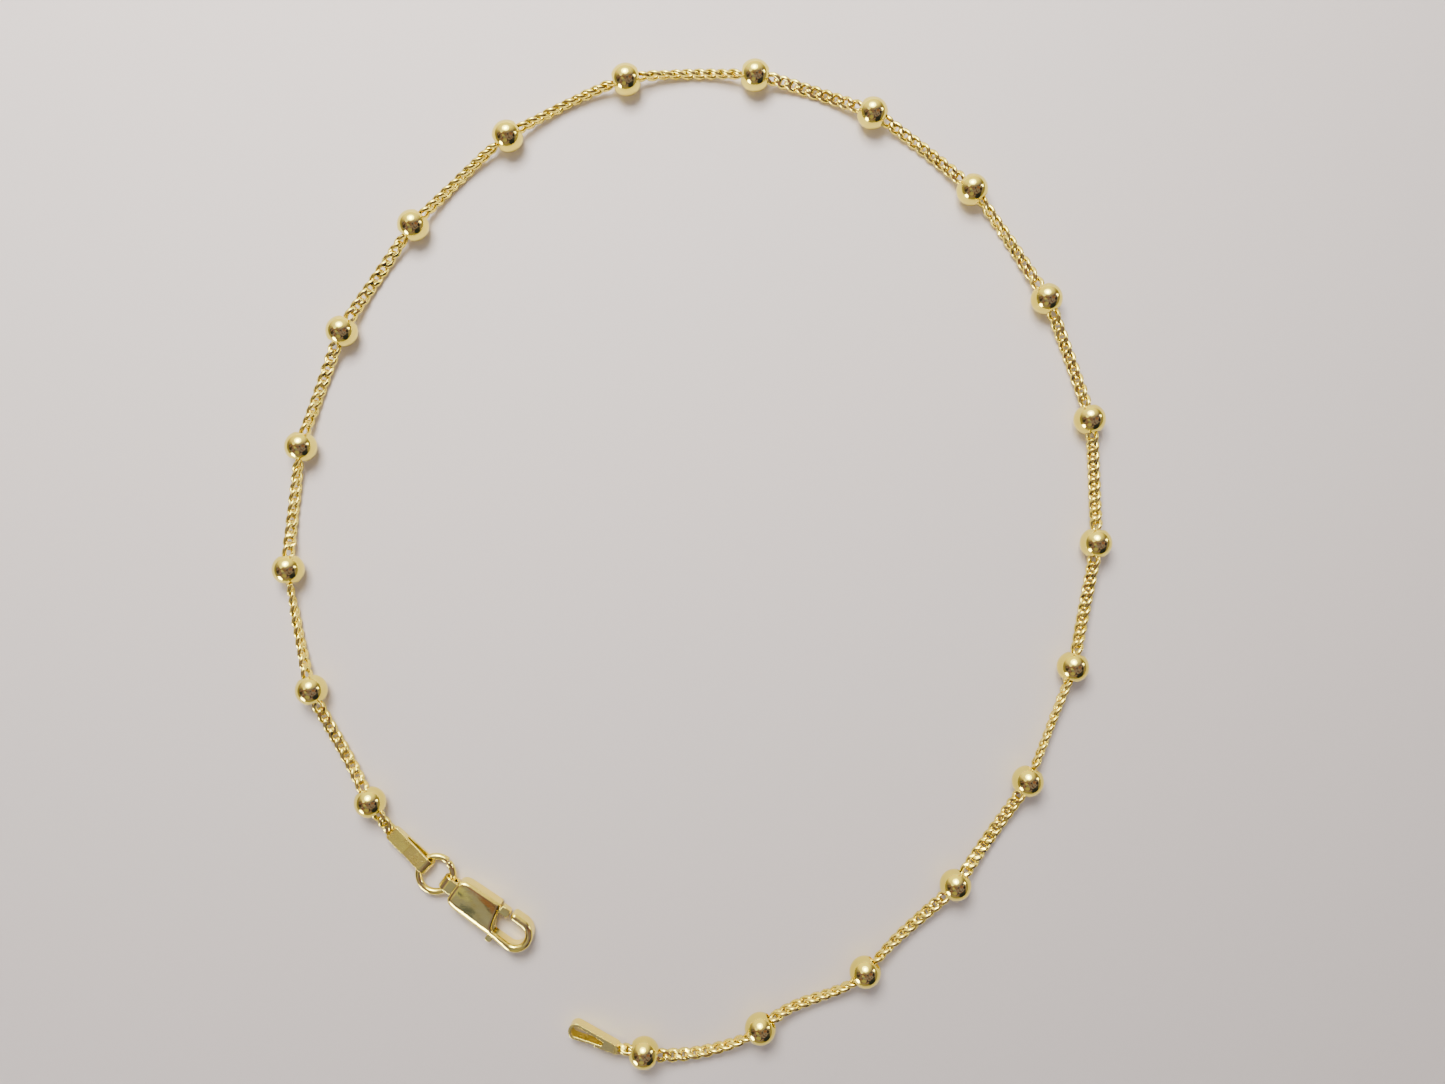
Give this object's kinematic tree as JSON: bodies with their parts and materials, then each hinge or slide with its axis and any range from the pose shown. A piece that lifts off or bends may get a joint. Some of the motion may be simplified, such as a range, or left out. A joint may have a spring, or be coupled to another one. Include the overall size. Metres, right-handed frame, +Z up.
{
  "type": "chain anklet",
  "caption": "Pale gold ball-station chain anklet with folded end tags, a jump ring and a lobster clasp, lying open in a loop.",
  "frame": {"origin": "middle of the anklet's plan, on the surface that it lies on", "axes": "+X across the loop, +Y along the loop's longer side, away from the clasp, +Z up from the surface"},
  "size_m": [0.0802, 0.0964, 0.003],
  "materials": {
    "bead_gold": "polished pale yellow gold",
    "chain_gold": "polished pale yellow gold",
    "tag_gold": "polished pale yellow gold",
    "clasp_gold": "polished pale yellow gold"
  },
  "bodies": {
    "anklet": {"bead_01": "bead_gold", "bead_02": "bead_gold", "bead_03": "bead_gold", "bead_04": "bead_gold", "bead_05": "bead_gold", "bead_06": "bead_gold", "bead_07": "bead_gold", "bead_08": "bead_gold", "bead_09": "bead_gold", "bead_10": "bead_gold", "bead_11": "bead_gold", "bead_12": "bead_gold", "bead_13": "bead_gold", "bead_14": "bead_gold", "bead_15": "bead_gold", "bead_16": "bead_gold", "bead_17": "bead_gold", "bead_18": "bead_gold", "bead_19": "bead_gold", "bead_20": "bead_gold", "chain_01": "chain_gold", "chain_02": "chain_gold", "chain_03": "chain_gold", "chain_04": "chain_gold", "chain_05": "chain_gold", "chain_06": "chain_gold", "chain_07": "chain_gold", "chain_08": "chain_gold", "chain_09": "chain_gold", "chain_10": "chain_gold", "chain_11": "chain_gold", "chain_12": "chain_gold", "chain_13": "chain_gold", "chain_14": "chain_gold", "chain_15": "chain_gold", "chain_16": "chain_gold", "chain_17": "chain_gold", "chain_18": "chain_gold", "chain_19": "chain_gold", "chain_20": "chain_gold", "chain_21": "chain_gold", "clasp_end_tag": "tag_gold", "free_end_tag": "tag_gold", "jump_ring": "clasp_gold", "clasp_body": "clasp_gold"},
    "lever": {"clasp_lever": "clasp_gold"}
  },
  "joints": [
    {"name": "clasp_lever_hinge", "type": "hinge", "parent": "anklet", "child": "lever", "pos_m": [-0.01932, -0.03293, 0.001], "axis": [0, 0, -1], "range_deg": [0, 25], "stiffness_Nm_per_rad": 0.001}
  ]
}
